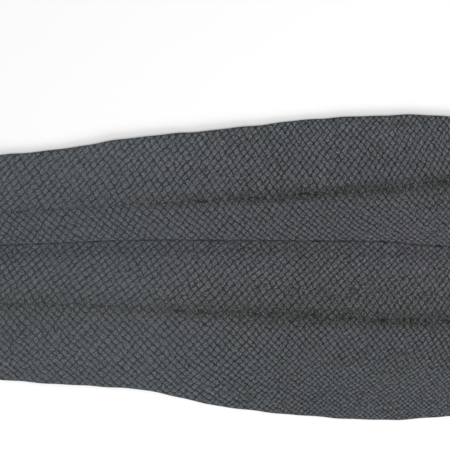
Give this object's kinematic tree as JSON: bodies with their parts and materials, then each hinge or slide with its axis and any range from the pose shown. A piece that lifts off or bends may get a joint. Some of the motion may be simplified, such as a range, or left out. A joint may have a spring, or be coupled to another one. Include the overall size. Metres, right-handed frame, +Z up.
{
  "type": "tanned salmon skin",
  "caption": "Whole fish-leather skin laid flat, grain side up, tapering from a wide head end to a narrow tail, with back crease and side lines.",
  "frame": {"origin": "middle of the skin's outline, on the surface that its flesh side lies on", "axes": "+X along the skin towards the head end, +Y across it towards the narrower flank, +Z up out of the grain side"},
  "size_m": [0.602, 0.2135, 0.0064],
  "materials": {
    "grain_leather": "dyed charcoal fish leather, matt, with scale pockets"
  },
  "bodies": {
    "root": {"salmon_skin": "grain_leather"}
  },
  "joints": []
}
